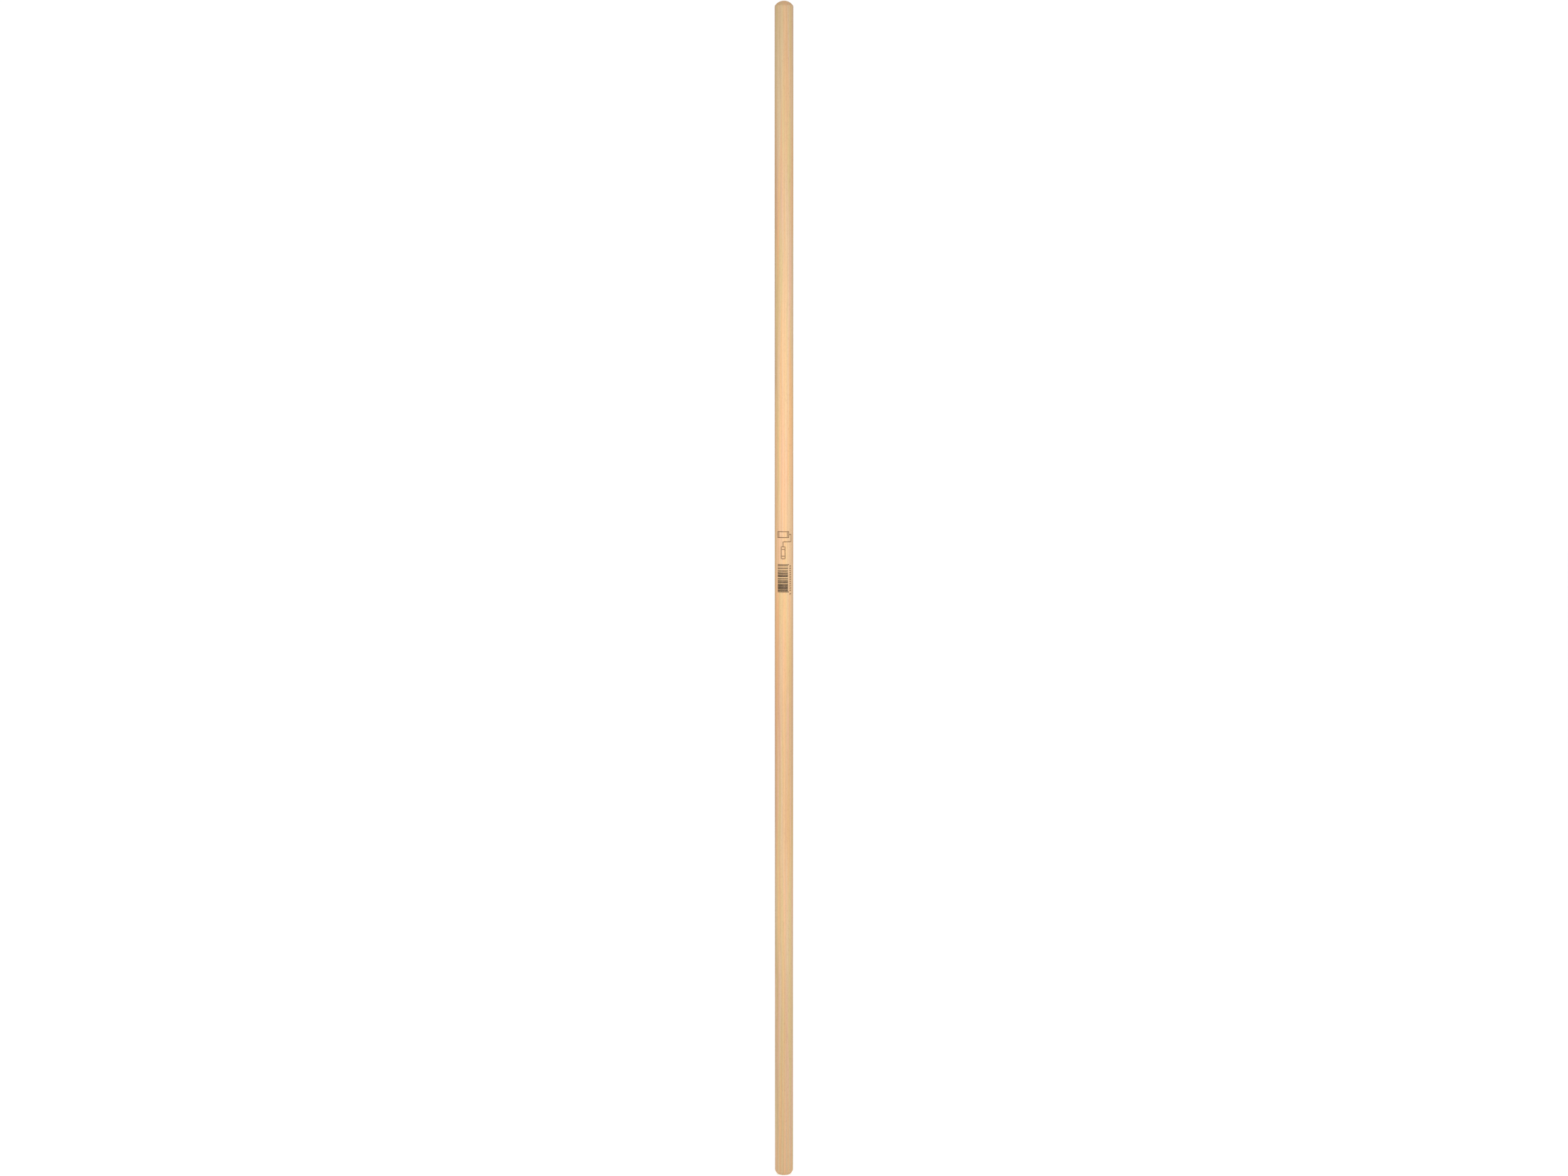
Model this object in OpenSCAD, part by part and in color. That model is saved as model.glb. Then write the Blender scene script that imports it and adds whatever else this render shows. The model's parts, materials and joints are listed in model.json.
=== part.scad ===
// Extension pole for a paint roller: one straight piece of round wooden stock, domed at the top,
// with a slimmed foot that starts easily into the handle of a roller or brush. Halfway up, its
// front carries dark print: a line drawing of a roller, a block of bars and a column of dashes.
//
// The pole stands on its foot along +Z, with the origin at the middle of the foot. Angles run
// round the pole: 0 is its front (-Y), and they grow towards +X. Millimetres and degrees.

/* [Pole] */
// Length from the foot to the top of the dome
pole_length = 1400; // [1100:10:2400]
// Diameter of the round stock
pole_d = 22; // [19:0.5:32]

/* [Domed end] */
// Radius of the dome, as a multiple of the pole's own radius
dome_ratio = 1.165; // [1.08:0.005:1.6]
// Radius of the eased arris between the dome and the side
dome_arris_r = 2.5; // [0.5:0.1:5]

/* [Foot] */
// How far the slimmed foot draws in from the side
foot_inset = 3.4; // [2:0.1:4.5]
// How far up the pole the slimming reaches
foot_h = 4.7; // [4.2:0.1:9]
// Radius of the edge round the flat of the foot
foot_edge_r = 5.5; // [0.5:0.1:5.5]
// Radius of the shoulder where the foot meets the side
foot_shoulder_r = 5; // [0.5:0.1:5]

/* [Print] */
// Thickness of the film of ink
ink_t = 0.04; // [0.02:0.01:0.2]

/* [Roller drawing] */
// Height of its lowest point above the foot
mark_z = 744.7; // [100:0.1:1000]
// Angle of its middle
mark_turn = 3.5; // [-180:0.5:180]
// Size of the drawing, as a multiple of its plain size
mark_scale = 1; // [0.7:0.05:1.3]
// Width of its lines, before it is scaled
line_w = 0.8; // [0.3:0.05:0.9]

/* [Bar block] */
// Height of its lowest bar above the foot
bars_z = 705; // [100:0.1:1000]
// Height of the block
bars_h = 33.4; // [28:0.1:38]
// Number of bars
bar_count = 30; // [10:1:40]
// Seed of the random widths of the bars and gaps
bars_seed = 79; // [1:1:400]
// Angle where every bar starts
bars_from = -42.5; // [-80:0.5:0]
// Angle where a plain bar ends
bars_to = 25.5; // [5:0.5:27]
// Angle where the long bars at the top and bottom of the block end
long_bars_to = 33.1; // [28:0.1:34]

/* [Column of dashes] */
// Number of pairs of dashes beside the bars
pair_count = 12; // [4:1:14]
// Width of a dash along the pole
dash_w = 0.5; // [0.3:0.05:0.6]
// Gap between the two dashes of a pair
pair_gap = 0.4; // [0.2:0.05:0.5]
// Angle where every dash starts
dashes_from = 35; // [34.5:0.5:38]
// Angle where the longest dashes end
dashes_to = 50; // [48:0.5:80]

/* [Hidden] */
$fn = 180;

wood_colour = [0.93, 0.77, 0.60];
ink_colour = [0.20, 0.14, 0.10];

pole_r = pole_d / 2;

// Dome: a ball cut by the pole's side, with a small round in the corner between them
dome_r = pole_r * dome_ratio;
dome_mid_z = pole_length - dome_r;
arris_mid_r = pole_r - dome_arris_r;
arris_mid_z = dome_mid_z + sqrt(pow(dome_r - dome_arris_r, 2) - pow(arris_mid_r, 2));

// Foot: a chamfer with a round at each end of it
foot_r = pole_r - foot_inset;
chamfer_lean = atan2(foot_h, foot_inset);
chamfer_ray = [cos(chamfer_lean), sin(chamfer_lean)];
edge_reach = foot_edge_r * tan(chamfer_lean / 2);
shoulder_reach = foot_shoulder_r * tan((90 - chamfer_lean) / 2);

// Roller drawing, made of separate lines that stop just short of each other, like a stencil.
// x is measured round the pole from the drawing's middle and z from its lowest point, both before
// mark_scale. A line that stands upright is [x of its middle, lower end, upper end].
upright_lines = [
    // The ends of the roller's drum, and its caps
    [-8.75, 25.05, 32.9], [5.25, 25.05, 32.9], [-6.9, 26.05, 31.9], [3.4, 26.05, 31.9],
    // The wire frame, and the sides of the handle
    [8.75, 20.15, 29.35], [-1.75, 15.15, 20.85], [-4.05, 0, 14.85], [0.55, 0, 14.85]
];
// A line that runs round the pole is [z of its middle, left end, right end]
round_lines = [
    // The top and bottom of the drum
    [32.55, -8.1, 4.6], [25.4, -8.1, 4.6],
    // The wire frame, the ends of the handle, and its rings
    [29, 5.9, 8.1], [20.5, -1.1, 8.1], [14.5, -3.4, -0.1], [0.35, -3.4, -0.1],
    [11.4, -3.4, -0.1], [3.4, -3.4, -0.1]
];

// Bar block: bars and gaps take turns, each one to widest_strip units wide, and most of them narrow
strip_count = 2 * bar_count - 1;
strip_random = rands(0, 1, strip_count, bars_seed);
narrow_bias = 2.5;
widest_strip = 4;
bars_unit = bars_h / units_below(strip_count);

// Column of dashes: evenly spaced pairs beside the bars, and one more that stands apart below them
pair_h = 2 * dash_w + pair_gap;
pair_margin = 1.6;
pair_pitch = (bars_h - 2 * pair_margin - pair_h) / (pair_count - 1);
lone_pair_drop = 2.7;
dash_step = 2.5;

function turn_of(x) = mark_turn + x * mark_scale / pole_r * 180 / PI;

function is_long_bar(i) = i < 3 || i > strip_count - 4;

// Width of a strip of the bar block, in units: even strips are bars and odd strips are gaps
function strip_units(i) =
    is_long_bar(i) ? 1 : 1 + floor(widest_strip * pow(strip_random[i], narrow_bias));

function units_below(i) = i == 0 ? 0 : strip_units(i - 1) + units_below(i - 1);

// A patch of ink on the pole's side, between two angles, from height z upwards
module ink_patch(from, to, z, height) {
    rotate([0, 0, from - 90])
        rotate_extrude(angle = to - from)
            translate([pole_r, z])
                square([ink_t, height]);
}

// A patch of the roller drawing, from x1 to x2 and from z1 to z2
module drawn_patch(x1, x2, z1, z2) {
    ink_patch(turn_of(x1), turn_of(x2), mark_z + z1 * mark_scale, (z2 - z1) * mark_scale);
}

// A quarter of a disc, to the right of its middle and above it
module quarter_disc(r) {
    intersection() {
        circle(r);
        square(r);
    }
}

// Half of the pole's lengthwise section
module pole_section() {
    polygon([
        [0, 0],
        [foot_r - edge_reach, 0],
        [foot_r, 0] + edge_reach * chamfer_ray,
        [pole_r, foot_h] - shoulder_reach * chamfer_ray,
        [pole_r, foot_h + shoulder_reach],
        [pole_r, arris_mid_z],
        [arris_mid_r, arris_mid_z],
        [0, dome_mid_z]
    ]);
    translate([foot_r - edge_reach, foot_edge_r])
        mirror([0, 1])
            quarter_disc(foot_edge_r);
    translate([pole_r - foot_shoulder_r, foot_h + shoulder_reach])
        mirror([0, 1])
            quarter_disc(foot_shoulder_r);
    translate([arris_mid_r, arris_mid_z])
        quarter_disc(dome_arris_r);
    // The ball meets the arris where a line from its middle through the arris's middle ends
    translate([0, dome_mid_z])
        intersection() {
            circle(dome_r);
            polygon([[0, 0], 2 * [arris_mid_r, arris_mid_z - dome_mid_z], [0, 2 * dome_r]]);
        }
}

module pole() {
    color(wood_colour)
        rotate_extrude()
            pole_section();
}

module printed_mark() {
    color(ink_colour) {
        for (line = upright_lines)
            drawn_patch(line[0] - line_w / 2, line[0] + line_w / 2, line[1], line[2]);
        for (line = round_lines)
            drawn_patch(line[1], line[2], line[0] - line_w / 2, line[0] + line_w / 2);
    }
}

module printed_bars() {
    color(ink_colour)
        for (i = [0 : 2 : strip_count - 1])
            ink_patch(bars_from, is_long_bar(i) ? long_bars_to : bars_to,
                      bars_z + units_below(i) * bars_unit, strip_units(i) * bars_unit);
}

// A dash is 0, 1 or 2 steps short of the longest, in an order that looks irregular
module dash(number, z) {
    ink_patch(dashes_from, dashes_to - dash_step * ((3 * number * number + number) % 5 % 3), z, dash_w);
}

module dash_pair(number, z) {
    dash(2 * number, z);
    dash(2 * number + 1, z + dash_w + pair_gap);
}

module printed_dashes() {
    color(ink_colour) {
        for (i = [0 : pair_count - 1])
            dash_pair(i, bars_z + pair_margin + i * pair_pitch);
        dash_pair(pair_count, bars_z - lone_pair_drop);
    }
}

pole();
printed_mark();
printed_bars();
printed_dashes();
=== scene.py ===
"""Roller extension pole: fine wood, printed ink, a white studio and the catalogue camera.

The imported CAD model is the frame: metres, +Z up along the pole, origin at the middle of its foot,
print on the front (-Y). Angles round the pole are measured from its front and grow towards +X.
"""
import json
import math
from collections import defaultdict

import bmesh
import bpy
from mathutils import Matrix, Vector, noise


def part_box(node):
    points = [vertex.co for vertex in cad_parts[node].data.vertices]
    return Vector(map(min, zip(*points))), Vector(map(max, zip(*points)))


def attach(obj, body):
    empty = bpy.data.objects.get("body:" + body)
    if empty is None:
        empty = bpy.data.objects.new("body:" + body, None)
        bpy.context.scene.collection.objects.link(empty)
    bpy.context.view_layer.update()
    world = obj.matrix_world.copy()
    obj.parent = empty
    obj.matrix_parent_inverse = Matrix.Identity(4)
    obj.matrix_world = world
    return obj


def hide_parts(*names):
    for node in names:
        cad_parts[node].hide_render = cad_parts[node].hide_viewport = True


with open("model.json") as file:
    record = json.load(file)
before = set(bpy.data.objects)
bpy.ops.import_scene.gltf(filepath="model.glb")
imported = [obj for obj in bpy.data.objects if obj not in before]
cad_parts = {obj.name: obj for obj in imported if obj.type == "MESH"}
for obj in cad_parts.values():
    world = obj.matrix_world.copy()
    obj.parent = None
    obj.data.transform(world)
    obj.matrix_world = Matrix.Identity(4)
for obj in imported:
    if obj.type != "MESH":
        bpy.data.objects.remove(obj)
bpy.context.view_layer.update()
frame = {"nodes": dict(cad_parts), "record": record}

MM = 0.001
MOUNTS = {mount["name"]: mount for mount in frame["record"]["mounts"]}
POLE_RADIUS = MOUNTS["tool_end"]["dims"]["r_mm"] * MM
# Rounded, because the CAD mesh of the dome ends a few micrometres low
POLE_TOP = round(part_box("pole")[1].z, 4)


def add_object(name, data):
    new_object = bpy.data.objects.new(name, data)
    bpy.context.scene.collection.objects.link(new_object)
    return new_object


def add_mesh_object(name, shell, material):
    """An object of one material, made from a bmesh, which is used up."""
    mesh = bpy.data.meshes.new(name)
    shell.to_mesh(mesh)
    shell.free()
    mesh.materials.append(material)
    return add_object(name, mesh)


def add_piece(name, shell, material, node):
    """A smooth piece on the only body, which stands for a CAD node."""
    piece = add_mesh_object(name, shell, material)
    for polygon in piece.data.polygons:
        polygon.use_smooth = True
    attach(piece, "root")
    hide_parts(node)


def on_pole(angle, radius, z):
    """The point at an angle from the front, in radians."""
    return Vector((radius * math.sin(angle), -radius * math.cos(angle), z))


# ---------------------------------------------------------------- the pole's shape

# The ends, as the CAD solid has them
FOOT_INSET = 3.4 * MM
FOOT_HEIGHT = 4.7 * MM
FOOT_EDGE_RADIUS = 5.5 * MM
FOOT_SHOULDER_RADIUS = 5.0 * MM
DOME_RADIUS = 1.165 * POLE_RADIUS
DOME_ARRIS_RADIUS = 2.5 * MM

SEGMENTS = 144            # round the pole
SIDE_STEP = 5.0 * MM      # between rings on the straight side
END_STEP = 0.2 * MM       # between rings on the dome and the foot

UNEVENNESS = 0.04 * MM    # how far the sanded side falls short of a perfect cylinder, at most
UNEVEN_LUMPS = Vector((90.0, 90.0, 6.0))    # a metre along X, Y and Z
TOOL_MARK_DEPTH = 0.035 * MM
TOOL_MARKS_PER_MM = 0.9


def arc(middle, radius, start, end):
    """Points (r, z) of an arc; angle 0 points away from the axis, and angles grow upwards."""
    steps = round(radius * (end - start) / END_STEP)
    points = []
    for i in range(steps + 1):
        angle = start + (end - start) * i / steps
        points.append(Vector((middle[0] + radius * math.cos(angle),
                              middle[1] + radius * math.sin(angle))))
    return points


def rounded_corner(before, corner, after, radius):
    """Points of an arc that rounds the corner of the path before-corner-after, all (r, z)."""
    into = (before - corner).normalized()
    out = (after - corner).normalized()
    half = into.angle(out) / 2
    middle = corner + (into + out).normalized() * radius / math.sin(half)
    reach = radius / math.tan(half)
    first = corner + into * reach - middle
    last = corner + out * reach - middle
    return arc(middle, radius, math.atan2(first.y, first.x), math.atan2(last.y, last.x))


def spaced(start, end, step):
    """Points strictly between start and end, about a step apart."""
    count = round((end - start).length / step)
    return [start.lerp(end, i / count) for i in range(1, count)]


def tool_marked(section):
    """Sinks faint rings, as a turning tool leaves them, into all but the ends of a section."""
    marked = [section[0]]
    travel = 0.0
    for before, point, after in zip(section, section[1:], section[2:]):
        travel += (point - before).length / MM
        along = (after - before).normalized()
        dent = 0.5 + noise.noise(Vector((travel * TOOL_MARKS_PER_MM, 0.0, 0.0)))
        marked.append(point + Vector((-along.y, along.x)) * max(TOOL_MARK_DEPTH * dent, 0.0))
    return marked + [section[-1]]


def foot_section():
    flat_middle = Vector((0.0, 0.0))
    edge = Vector((POLE_RADIUS - FOOT_INSET, 0.0))
    shoulder = Vector((POLE_RADIUS, FOOT_HEIGHT))
    above = Vector((POLE_RADIUS, 2 * FOOT_HEIGHT))
    edge_arc = rounded_corner(flat_middle, edge, shoulder, FOOT_EDGE_RADIUS)
    shoulder_arc = rounded_corner(edge, shoulder, above, FOOT_SHOULDER_RADIUS)
    flat = spaced(flat_middle, edge_arc[0], END_STEP)
    chamfer = spaced(edge_arc[-1], shoulder_arc[0], END_STEP)
    return flat + tool_marked(edge_arc + chamfer + shoulder_arc)


def dome_section():
    """The arris and the dome, without the very top."""
    ball_z = POLE_TOP - DOME_RADIUS
    inner = DOME_RADIUS - DOME_ARRIS_RADIUS
    arris_r = POLE_RADIUS - DOME_ARRIS_RADIUS
    meeting = math.acos(arris_r / inner)
    arris_middle = (arris_r, ball_z + inner * math.sin(meeting))
    arris = arc(arris_middle, DOME_ARRIS_RADIUS, 0.0, meeting)
    dome = arc((0.0, ball_z), DOME_RADIUS, meeting, math.pi / 2)
    return tool_marked(arris + dome[1:-1])


def pole_section():
    foot = foot_section()
    dome = dome_section()
    return foot + spaced(foot[-1], dome[0], SIDE_STEP) + dome


def sanded(point):
    """Moves a point of a perfect surface in by the slight unevenness of sanded stock."""
    dip = 0.5 + 0.5 * noise.noise(point * UNEVEN_LUMPS)
    return Vector((point.x, point.y, 0.0)) * (-UNEVENNESS * dip / POLE_RADIUS) + point


def build_pole(material):
    shell = bmesh.new()
    angles = [math.tau * i / SEGMENTS for i in range(SEGMENTS)]
    rings = []
    for r, z in pole_section():
        rings.append([shell.verts.new(sanded(on_pole(angle, r, z))) for angle in angles])
    sides = [(i, (i + 1) % SEGMENTS) for i in range(SEGMENTS)]
    for low, high in zip(rings, rings[1:]):
        for i, j in sides:
            shell.faces.new((low[i], low[j], high[j], high[i]))
    foot_middle = shell.verts.new((0.0, 0.0, 0.0))
    top = shell.verts.new((0.0, 0.0, POLE_TOP))
    for i, j in sides:
        shell.faces.new((foot_middle, rings[0][j], rings[0][i]))
        shell.faces.new((top, rings[-1][i], rings[-1][j]))
    add_piece("wooden_pole", shell, material, "pole")


# ---------------------------------------------------------------- printed ink

INK_OUT = 0.03 * MM       # outer face of the ink, above the pole's nominal side
INK_IN = 0.10 * MM        # inner face, under the wood's surface
COLUMN_STEP = 0.14 * MM   # mesh step round the pole
FEWEST_COLUMNS = 4
ROW_STEP = 0.56 * MM      # mesh step along the pole
FEWEST_ROWS = 6

CORNER_ROUND = 0.16 * MM
INK_SPREAD = 0.045 * MM   # how far ink creeps along the grain
RAGGED_ALONG = 0.05 * MM
RAGGED_ACROSS = 0.018 * MM
ACROSS_POWER = 6          # keeps the raggedness across the grain near a patch's two ends
ACROSS_STRETCH = 0.5      # spikes across the grain are wider than spikes along it

# An inked edge wanders in spikes of a few fibres' width and in broader ones, each given as
# (spikes a millimetre, strength, slice of the noise)
EDGE_SPIKES = ((5.0, 1.2, 0.0), (1.1, 0.8, 9.0))

# A patch's bottom edge has the patch's own seed, and the other edges' seeds are further on
PATCH_SEED_STEP = 3.7
TOP_SEED = 40.0
ACROSS_SEED = 80.0


def patches_of(node):
    """(from angle, to angle, low z, high z) of each separate solid of a printed CAD node."""
    mesh = frame["nodes"][node].data
    group = list(range(len(mesh.vertices)))

    def root(i):
        while group[i] != i:
            group[i] = group[group[i]]
            i = group[i]
        return i

    seen = {}
    for vertex in mesh.vertices:
        place = tuple(round(c, 6) for c in vertex.co)
        group[root(vertex.index)] = root(seen.setdefault(place, vertex.index))
    for polygon in mesh.polygons:
        for corner in polygon.vertices:
            group[root(corner)] = root(polygon.vertices[0])
    solids = defaultdict(list)
    for vertex in mesh.vertices:
        solids[root(vertex.index)].append(vertex.co)
    patches = []
    for corners in solids.values():
        angles = [math.atan2(c.x, -c.y) for c in corners]
        heights = [c.z for c in corners]
        patches.append((min(angles), max(angles), min(heights), max(heights)))
    return sorted(patches)


def ragged(place, seed):
    """How far an inked edge wanders at a place in mm, up to about 1 either way."""
    return sum(strength * noise.noise(Vector((place * spikes, seed, slice_at)))
               for spikes, strength, slice_at in EDGE_SPIKES)


def corner_cut(distance):
    """How far an edge draws in at a distance from the patch's end, for a rounded corner."""
    short = CORNER_ROUND - min(max(distance, 0.0), CORNER_ROUND)
    return CORNER_ROUND - math.sqrt(CORNER_ROUND ** 2 - short ** 2)


def ink_grid(patch, seed):
    """Columns of (x round the pole, z) over one patch, with ragged ends along the grain."""
    from_angle, to_angle, low, high = patch
    left = from_angle * POLE_RADIUS
    right = to_angle * POLE_RADIUS
    columns = max(FEWEST_COLUMNS, round((right - left) / COLUMN_STEP))
    rows = max(FEWEST_ROWS, round((high - low) / ROW_STEP))
    grid = []
    for i in range(columns + 1):
        x = left + (right - left) * i / columns
        cut = corner_cut(min(x - left, right - x))
        bottom = low + cut - INK_SPREAD - RAGGED_ALONG * ragged(x / MM, seed)
        top = high - cut + INK_SPREAD + RAGGED_ALONG * ragged(x / MM, seed + TOP_SEED)
        pull = abs(2 * i / columns - 1) ** ACROSS_POWER * RAGGED_ACROSS
        column = []
        for j in range(rows + 1):
            z = bottom + (top - bottom) * j / rows
            sway = ragged(z / MM * ACROSS_STRETCH, seed + ACROSS_SEED) * pull
            column.append((x + sway, z))
        grid.append(column)
    return grid


def add_patch(shell, patch, seed):
    """A closed film of ink: outer and inner sheets joined round their rim."""
    grid = ink_grid(patch, seed)
    sheets = []
    for radius in (POLE_RADIUS + INK_OUT, POLE_RADIUS - INK_IN):
        sheets.append([[shell.verts.new(on_pole(x / POLE_RADIUS, radius, z)) for x, z in column]
                       for column in grid])
    outer, inner = sheets
    last_i = len(grid) - 1
    last_j = len(grid[0]) - 1
    for i in range(last_i):
        for j in range(last_j):
            shell.faces.new((outer[i][j], outer[i + 1][j], outer[i + 1][j + 1], outer[i][j + 1]))
            shell.faces.new((inner[i][j], inner[i][j + 1], inner[i + 1][j + 1], inner[i + 1][j]))
    rim = [(i, 0) for i in range(last_i)] + [(last_i, j) for j in range(last_j)]
    rim += [(i, last_j) for i in range(last_i, 0, -1)] + [(0, j) for j in range(last_j, 0, -1)]
    for (i, j), (k, m) in zip(rim, rim[1:] + rim[:1]):
        shell.faces.new((outer[k][m], outer[i][j], inner[i][j], inner[k][m]))


def build_print(name, node, material):
    shell = bmesh.new()
    for number, patch in enumerate(patches_of(node)):
        add_patch(shell, patch, number * PATCH_SEED_STEP)
    add_piece(name, shell, material, node)


# ---------------------------------------------------------------- materials

class Net:
    """Shader nodes of one material, added and linked in one call each."""

    def __init__(self, name):
        self.material = bpy.data.materials.new(name)
        self.material.use_nodes = True
        self.tree = self.material.node_tree
        self.tree.nodes.clear()

    def add(self, kind, settings=None, **inputs):
        """A node with settings, its inputs named with _ for a space; a socket is linked."""
        node = self.tree.nodes.new(kind)
        for name, value in (settings or {}).items():
            setattr(node, name, value)
        for name, value in inputs.items():
            self.put(node.inputs[name.replace("_", " ")], value)
        return node

    def put(self, socket, value):
        if isinstance(value, bpy.types.NodeSocket):
            self.tree.links.new(value, socket)
        else:
            socket.default_value = value

    def millimetres(self):
        """The point in the object, in millimetres along X, Y and Z."""
        return self.scaled(self.add("ShaderNodeTexCoord").outputs["Object"], (1 / MM,) * 3)

    def axes(self, vector):
        """The X, Y and Z of a vector, by name."""
        return self.add("ShaderNodeSeparateXYZ", Vector=vector).outputs

    def math(self, operation, *values):
        node = self.add("ShaderNodeMath", {"operation": operation})
        for socket, value in zip(node.inputs, values):
            self.put(socket, value)
        return node.outputs[0]

    def scaled(self, vector, factors):
        node = self.add("ShaderNodeVectorMath", {"operation": "MULTIPLY"})
        self.put(node.inputs[0], vector)
        self.put(node.inputs[1], factors)
        return node.outputs[0]

    def noise(self, vector, lumps, detail=2.0, roughness=0.5):
        """Noise from 0 to 1 with so many lumps a unit of the vector along X, Y and Z."""
        node = self.add("ShaderNodeTexNoise", Vector=self.scaled(vector, lumps), Scale=1.0,
                        Detail=detail, Roughness=roughness)
        return node.outputs["Fac"]

    def span(self, value, low, high, to_low=0.0, to_high=1.0):
        """value from low to high, smoothly mapped onto to_low to to_high."""
        node = self.add("ShaderNodeMapRange", {"interpolation_type": "SMOOTHSTEP"}, Value=value,
                        From_Min=low, From_Max=high, To_Min=to_low, To_Max=to_high)
        return node.outputs["Result"]

    def ramp(self, value, stops):
        """An eased grey ramp through (position, level) stops."""
        node = self.add("ShaderNodeValToRGB", Fac=value)
        ramp = node.color_ramp
        ramp.interpolation = "EASE"
        while len(ramp.elements) < len(stops):
            ramp.elements.new(0.5)
        for element, (position, level) in zip(ramp.elements, stops):
            element.position = position
            element.color = (level, level, level, 1.0)
        return node.outputs["Color"]

    def mix(self, factor, first, second, blend="MIX"):
        node = self.add("ShaderNodeMix", {"data_type": "RGBA", "blend_type": blend})
        self.put(node.inputs["Factor"], factor)
        colours = [socket for socket in node.inputs if socket.type == "RGBA"]
        for socket, value in zip(colours, (first, second)):
            self.put(socket, value)
        return next(socket for socket in node.outputs if socket.type == "RGBA")

    def cover(self, under, pattern, strength, over):
        """A tone laid over another one, at a strength where the pattern is full."""
        return self.mix(self.math("MULTIPLY", pattern, strength), under, over)

    def finish(self, tint, roughness, height, relief, **settings):
        """The material, with its surface; a height of 1 stands out by the relief."""
        bump = self.add("ShaderNodeBump", Strength=1.0, Distance=relief, Height=height)
        shader = self.add("ShaderNodeBsdfPrincipled", Base_Color=tint, Roughness=roughness,
                          Normal=bump.outputs["Normal"], **settings)
        self.add("ShaderNodeOutputMaterial", Surface=shader.outputs["BSDF"])
        return self.material


def colour(red, green, blue):
    """A display colour, 0 to 255 a channel, as linear RGBA."""
    def linear(level):
        level /= 255
        return level / 12.92 if level <= 0.04045 else ((level + 0.055) / 1.055) ** 2.4
    return (linear(red), linear(green), linear(blue), 1.0)


# Wood tones: the first four are about equally bright and differ in hue
PALE = colour(200, 173, 137)
ROSY = colour(208, 165, 140)
STRAW = colour(197, 174, 123)
AMBER = colour(212, 166, 117)
TAN = colour(182, 147, 110)
LATE_WOOD = colour(166, 124, 86)
RAY_FLECK = colour(150, 108, 74)
VESSEL = colour(124, 86, 57)
END_GRAIN = colour(188, 153, 111)

# Slow changes of tone, as (middle in mm up the pole, reach each way, tint at the middle):
# a dusky length, a warm one and two pale ones
SLOW_TONES = (
    (545.0, 190.0, (0.94, 0.92, 0.92, 1.0)),
    (690.0, 400.0, (0.97, 0.91, 0.87, 1.0)),
    (310.0, 130.0, (1.04, 1.06, 1.07, 1.0)),
    (1285.0, 130.0, (1.02, 1.06, 1.06, 1.0)),
)

# The middle of the tree, in mm from the pole's axis, and how the pole leans from its grain
PITH = (72.0, 30.0)
PITH_DISTANCE = math.hypot(*PITH)
PITH_WANDER = 5.0
GRAIN_LEAN = (0.0045, -0.003)

# Growth rings, in mm, and the darkness of the late wood through one year, as (share, level)
RING_WIDTH = 2.7
YEAR = ((0.0, 0.25), (0.12, 0.0), (0.55, 0.15), (0.92, 1.0), (1.0, 0.25))

# Painted warm light: a warmer band up the middle of the front, where the key light falls straight
# on it, in mm across the pole
PAINTED_WARM_BAND_MIDDLE = 0.6
PAINTED_WARM_BAND_SWAY = 0.8
PAINTED_WARM_BAND_CORE = 0.8
PAINTED_WARM_BAND_REACH = 2.6

# Lumps a millimetre along X, Y and Z; a minus only keeps one pattern from following another
WANDER_LUMPS = (0.03, 0.03, 0.006)
ROSY_LUMPS = (0.2, 0.2, 0.005)
STRAW_LUMPS = (-0.21, 0.21, 0.006)
AMBER_LUMPS = (0.24, -0.24, 0.007)
# The next lumps sway the painted warm light up the front
PAINTED_WARM_BAND_LUMPS = (0.4, 0.4, 0.01)
STREAK_LUMPS = (0.5, 0.5, 0.004)
FIBRE_LUMPS = (4.0, 4.0, 0.06)
VESSEL_LUMPS = (9.0, 9.0, 0.4)
INK_GRAIN_LUMPS = (5.2, 5.2, 0.42)
INK_CLOUD_LUMPS = (0.33, 0.33, 0.16)
# Lumps a millimetre round the pith, away from it and up the pole
RAY_LUMPS = (5.0, 1.3, 0.32)
# Lumps a millimetre away from the pole's axis, the only direction that tool marks vary in
SCORE_LUMPS = (3.0, 1.0, 1.0)

# Ink tones, where it lies thick and thin
BAR_INK = (colour(54, 41, 30), colour(112, 86, 62))
LINE_INK = (colour(90, 66, 43), colour(148, 113, 77))

# Depth of the fine relief, and strength of the mirror-like reflection
WOOD_RELIEF = 0.03 * MM
WOOD_SPECULAR = 0.26
INK_RELIEF = 0.02 * MM
INK_SPECULAR = 0.2


def from_pith(net, place):
    """Across, deep and straight distances from the pith, which wanders slowly along the pole."""
    axes = net.axes(place)
    wander = net.math("MULTIPLY", net.noise(place, WANDER_LUMPS), PITH_WANDER)
    across = net.math("MULTIPLY_ADD", axes["Z"], GRAIN_LEAN[0], axes["X"])
    across = net.math("SUBTRACT", net.math("ADD", across, wander), PITH[0])
    deep = net.math("MULTIPLY_ADD", axes["Z"], GRAIN_LEAN[1], axes["Y"])
    deep = net.math("SUBTRACT", deep, PITH[1])
    squares = net.math("MULTIPLY_ADD", across, across, net.math("MULTIPLY", deep, deep))
    return across, deep, net.math("SQRT", squares)


def late_wood_pattern(net, distance):
    """The dark part of each year's ring, fainter in some years."""
    years = net.math("DIVIDE", distance, RING_WIDTH)
    late_wood = net.ramp(net.math("FRACT", years), YEAR)
    year = net.add("ShaderNodeTexWhiteNoise", {"noise_dimensions": "1D"},
                   W=net.math("FLOOR", years)).outputs["Value"]
    return net.math("MULTIPLY", late_wood, net.math("MULTIPLY_ADD", year, 0.6, 0.4))


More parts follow.
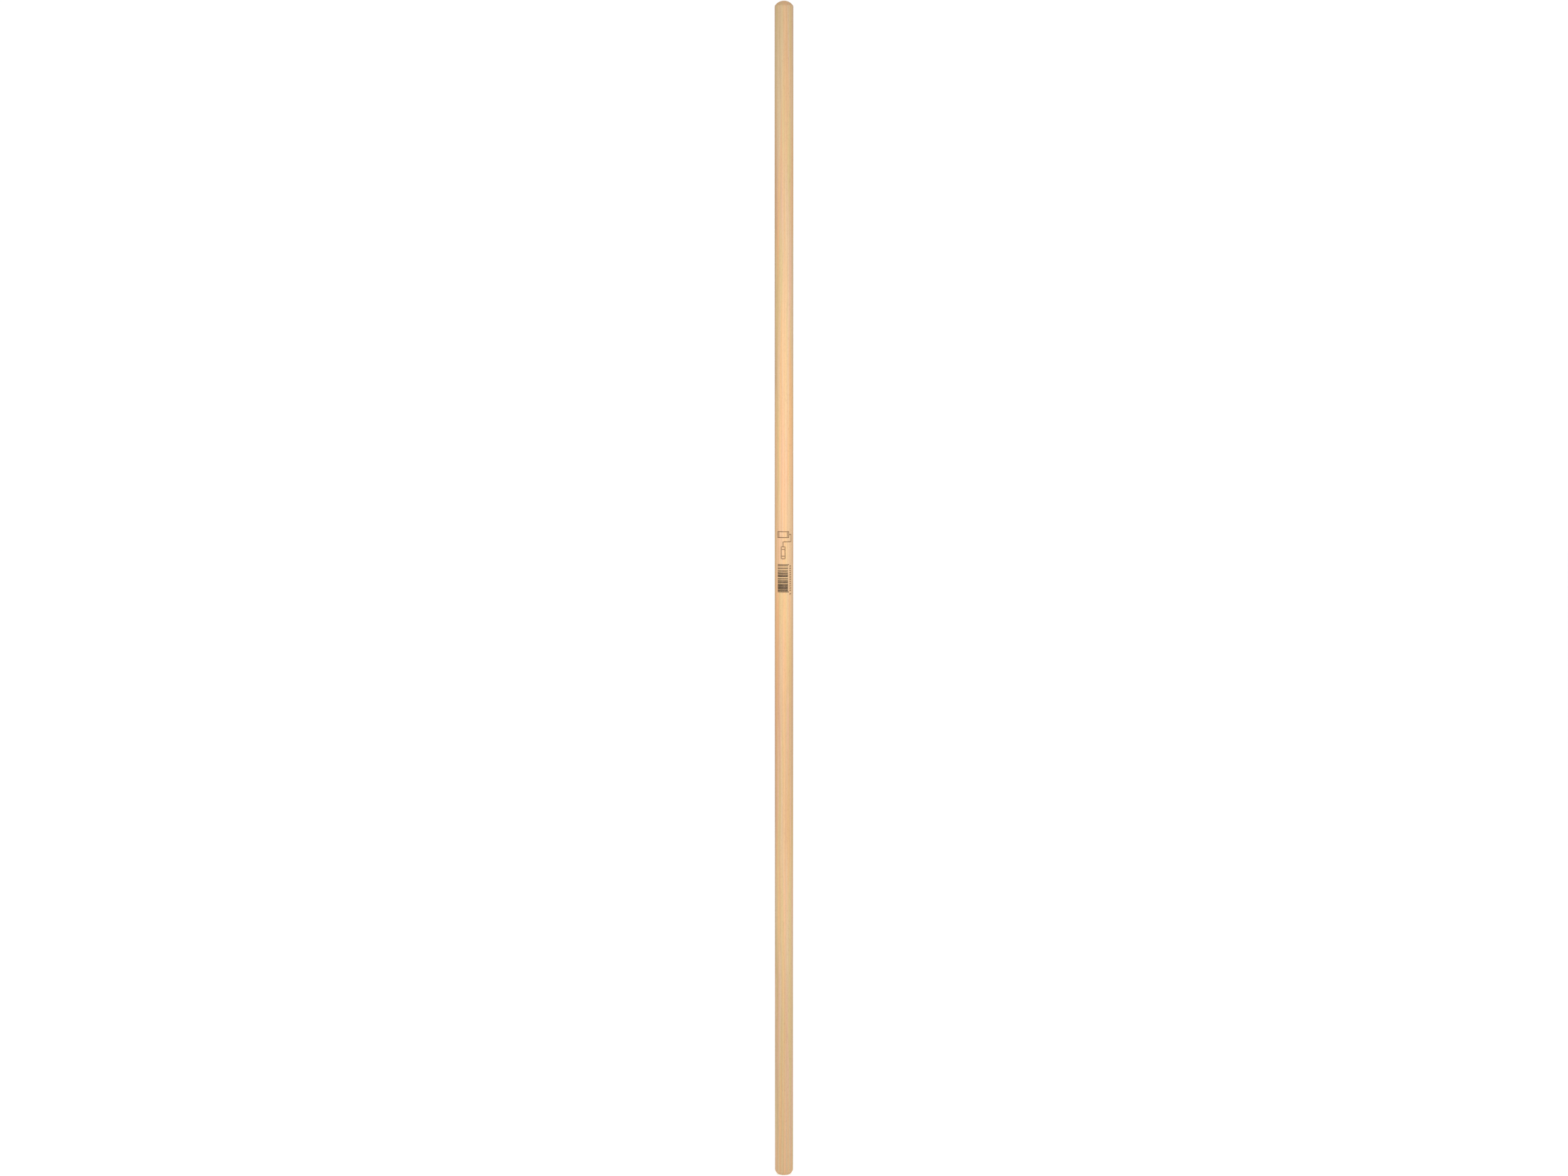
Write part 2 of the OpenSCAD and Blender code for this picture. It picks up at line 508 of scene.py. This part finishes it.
def ray_pattern(net, across, deep, distance, z):
    """Rays: thin across the grain, deep towards the pith, a few millimetres tall."""
    turn = net.math("MULTIPLY", net.math("ARCTAN2", deep, across), PITH_DISTANCE)
    place = net.add("ShaderNodeCombineXYZ", X=turn, Y=distance, Z=z).outputs[0]
    return net.span(net.noise(place, RAY_LUMPS, 1.0), 0.62, 0.72)


def painted_warm_band_pattern(net, place, x):
    """Painted warm light up the front: a core that sways from side to side along the pole and fades
    out each way.
    """
    sway = net.span(net.noise(place, PAINTED_WARM_BAND_LUMPS), 0.3, 0.7, -PAINTED_WARM_BAND_SWAY, PAINTED_WARM_BAND_SWAY)
    off_painted_band = net.math("SUBTRACT", net.math("SUBTRACT", x, PAINTED_WARM_BAND_MIDDLE), sway)
    off_painted_band = net.math("ABSOLUTE", off_painted_band)
    return net.span(off_painted_band, PAINTED_WARM_BAND_CORE, PAINTED_WARM_BAND_REACH, 0.8, 0.0)


def end_grain_patterns(net, place):
    """Where the wood is cut across, on the dome and the foot, and the rings of tool marks there."""
    facing = net.axes(net.add("ShaderNodeTexCoord").outputs["Normal"])["Z"]
    end_grain = net.span(net.math("ABSOLUTE", facing), 0.3, 0.85)
    from_axis = net.add("ShaderNodeVectorMath", {"operation": "LENGTH"},
                        Vector=net.scaled(place, (1.0, 1.0, 0.0))).outputs["Value"]
    ring_place = net.add("ShaderNodeCombineXYZ", X=from_axis).outputs[0]
    scores = net.span(net.noise(ring_place, SCORE_LUMPS, 3.0, 0.6), 0.42, 0.62)
    return end_grain, net.math("MULTIPLY", scores, end_grain)


def wood_pattern(net):
    """Colour, roughness and height sockets of bare beech, with a painted warm band of light up the
    front, solid right through the pole.
    """
    place = net.millimetres()
    axes = net.axes(place)
    across, deep, distance = from_pith(net, place)
    rosy = net.span(net.noise(place, ROSY_LUMPS, 1.0), 0.45, 0.65)
    straw = net.span(net.noise(place, STRAW_LUMPS, 1.0), 0.45, 0.65)
    amber = net.span(net.noise(place, AMBER_LUMPS, 1.0), 0.48, 0.68)
    # The amber patches take in the painted warm light up the front
    amber = net.math("MAXIMUM", amber, painted_warm_band_pattern(net, place, axes["X"]))
    streaks = net.span(net.noise(place, STREAK_LUMPS, 3.0), 0.35, 0.75)
    late_wood = late_wood_pattern(net, distance)
    rays = ray_pattern(net, across, deep, distance, axes["Z"])
    vessels = net.span(net.noise(place, VESSEL_LUMPS, 1.0), 0.66, 0.76)
    fibres = net.noise(place, FIBRE_LUMPS, 3.0, 0.6)
    end_grain, scores = end_grain_patterns(net, place)

    tint = net.cover(PALE, rosy, 0.65, ROSY)
    tint = net.cover(tint, straw, 0.8, STRAW)
    # Amber patches, and the painted warm light up the front
    tint = net.cover(tint, amber, 0.7, AMBER)
    tint = net.cover(tint, streaks, 0.32, TAN)
    tint = net.cover(tint, late_wood, 0.32, LATE_WOOD)
    tint = net.cover(tint, rays, 0.28, RAY_FLECK)
    tint = net.cover(tint, vessels, 0.35, VESSEL)
    tint = net.mix(1.0, tint, net.span(fibres, 0.3, 0.7, 0.93, 1.05), "MULTIPLY")
    for middle, reach, shade in SLOW_TONES:
        away = net.math("ABSOLUTE", net.math("SUBTRACT", axes["Z"], middle))
        tint = net.mix(net.span(away, 0.0, reach, 1.0, 0.0), tint, shade, "MULTIPLY")
    tint = net.cover(tint, end_grain, 0.5, END_GRAIN)
    tint = net.cover(tint, scores, 0.14, LATE_WOOD)

    roughness = net.span(net.math("MULTIPLY_ADD", end_grain, 0.5, fibres), 0.3, 1.1, 0.52, 0.78)
    height = net.math("SUBTRACT", net.math("MULTIPLY_ADD", late_wood, 0.3, fibres), vessels)
    height = net.math("MULTIPLY_ADD", scores, -0.5, height)
    return tint, roughness, height


def wood_material():
    net = Net("beech_wood")
    tint, roughness, height = wood_pattern(net)
    return net.finish(tint, roughness, height, WOOD_RELIEF, Specular_IOR_Level=WOOD_SPECULAR)


def ink_material(name, thick_ink, thin_ink):
    """Ink that lies thin on the raised fibres and lets the wood show through in specks."""
    net = Net(name)
    wood, roughness, height = wood_pattern(net)
    place = net.millimetres()
    grain = net.noise(place, INK_GRAIN_LUMPS, 3.0, 0.6)
    cloud = net.noise(place, INK_CLOUD_LUMPS)
    thin = net.span(net.math("MULTIPLY_ADD", cloud, 0.5, grain), 0.72, 1.02)
    bare = net.span(net.math("MULTIPLY_ADD", cloud, 0.35, grain), 0.86, 0.94)
    tint = net.mix(bare, net.mix(thin, thick_ink, thin_ink), wood)
    return net.finish(tint, roughness, height, INK_RELIEF, Specular_IOR_Level=INK_SPECULAR)


# ---------------------------------------------------------------- camera, light and floor

IMAGE = (2212, 1659)
SENSOR_WIDTH = 36.0       # mm
CAMERA_DISTANCE = 5.0
CAMERA_ELEVATION = math.radians(6.0)
FRAME_FILL = 0.9989       # share of the picture's height that the pole takes up

BACKDROP_LEVEL = 1.02
AMBIENT_LEVEL = 0.62
# Square softboxes, as (name, spot, target, side, watts)
SOFTBOXES = (
    ("key", (0.05, -0.78, 0.8), (0.0, 0.0, 0.78), 0.3, 5.3),
    ("fill", (0.0, 1.4, 0.9), (0.0, 0.0, 0.7), 0.5, 6.0),
    ("overhead", (0.0, -0.2, 2.4), (0.0, 0.0, POLE_TOP), 0.4, 5.0),
)

FLOOR_HALF_SIDE = 8.0
FLOOR_CELLS = 8
FLOOR_GREY = 0.86
FLOOR_GLOW = 0.48         # lifts the floor to the backdrop's white


def place_camera():
    """Stands far back and a little above, with the pole filling the picture's height."""
    middle = Vector((0.0, 0.0, POLE_TOP / 2))
    back = Vector((0.0, -math.cos(CAMERA_ELEVATION), math.sin(CAMERA_ELEVATION)))
    spot = middle + back * CAMERA_DISTANCE
    front_of_foot = Vector((0.0, FOOT_INSET - POLE_RADIUS, 0.0))
    to_top = math.atan2(POLE_TOP - spot.z, -spot.y)
    to_foot = math.atan2(-spot.z, front_of_foot.y - spot.y)
    half_view = (to_top - to_foot) / 2
    half_sensor = SENSOR_WIDTH * IMAGE[1] / IMAGE[0] / 2

    data = bpy.data.cameras.new("camera")
    data.sensor_width = SENSOR_WIDTH
    data.lens = half_sensor * FRAME_FILL / math.tan(half_view)
    camera = add_object("camera", data)
    camera.location = spot
    camera.rotation_euler = (math.pi / 2 + (to_top + to_foot) / 2, 0.0, 0.0)
    bpy.context.scene.camera = camera


def add_softbox(name, spot, target, side, watts):
    data = bpy.data.lights.new(name, "AREA")
    data.size = side
    data.energy = watts
    softbox = add_object(name, data)
    softbox.location = spot
    softbox.rotation_euler = (Vector(target) - Vector(spot)).to_track_quat("-Z", "Y").to_euler()
    softbox.visible_camera = False


def light_studio():
    """A white surround that shows brighter than it lights, and the softboxes."""
    world = bpy.data.worlds.new("studio")
    world.use_nodes = True
    tree = world.node_tree
    backdrop = tree.nodes["Background"]
    backdrop.inputs["Strength"].default_value = BACKDROP_LEVEL
    ambient = tree.nodes.new("ShaderNodeBackground")
    ambient.inputs["Strength"].default_value = AMBIENT_LEVEL
    for surround in (backdrop, ambient):
        surround.inputs["Color"].default_value = (1.0, 1.0, 1.0, 1.0)
    seen = tree.nodes.new("ShaderNodeLightPath").outputs["Is Camera Ray"]
    choice = tree.nodes.new("ShaderNodeMixShader")
    for socket, source in zip(choice.inputs, (seen, ambient.outputs[0], backdrop.outputs[0])):
        tree.links.new(source, socket)
    tree.links.new(choice.outputs[0], tree.nodes["World Output"].inputs["Surface"])
    bpy.context.scene.world = world
    for softbox in SOFTBOXES:
        add_softbox(*softbox)


def paper_material():
    """Matt white paper that glows a little."""
    material = bpy.data.materials.new("white_paper")
    material.use_nodes = True
    inputs = material.node_tree.nodes["Principled BSDF"].inputs
    inputs["Base Color"].default_value = (FLOOR_GREY, FLOOR_GREY, FLOOR_GREY, 1.0)
    inputs["Roughness"].default_value = 0.9
    inputs["Specular IOR Level"].default_value = 0.1
    inputs["Emission Color"].default_value = (1.0, 1.0, 1.0, 1.0)
    inputs["Emission Strength"].default_value = FLOOR_GLOW
    return material


def build_floor():
    shell = bmesh.new()
    bmesh.ops.create_grid(shell, x_segments=FLOOR_CELLS, y_segments=FLOOR_CELLS,
                          size=FLOOR_HALF_SIDE)
    add_mesh_object("floor", shell, paper_material())


bpy.context.scene.view_settings.view_transform = "Standard"
place_camera()
light_studio()
build_floor()

bar_ink = ink_material("thick_brown_ink", *BAR_INK)
line_ink = ink_material("thin_brown_ink", *LINE_INK)
build_pole(wood_material())
build_print("ink_roller_drawing", "printed_mark", line_ink)
build_print("ink_bars", "printed_bars", bar_ink)
build_print("ink_dashes", "printed_dashes", line_ink)
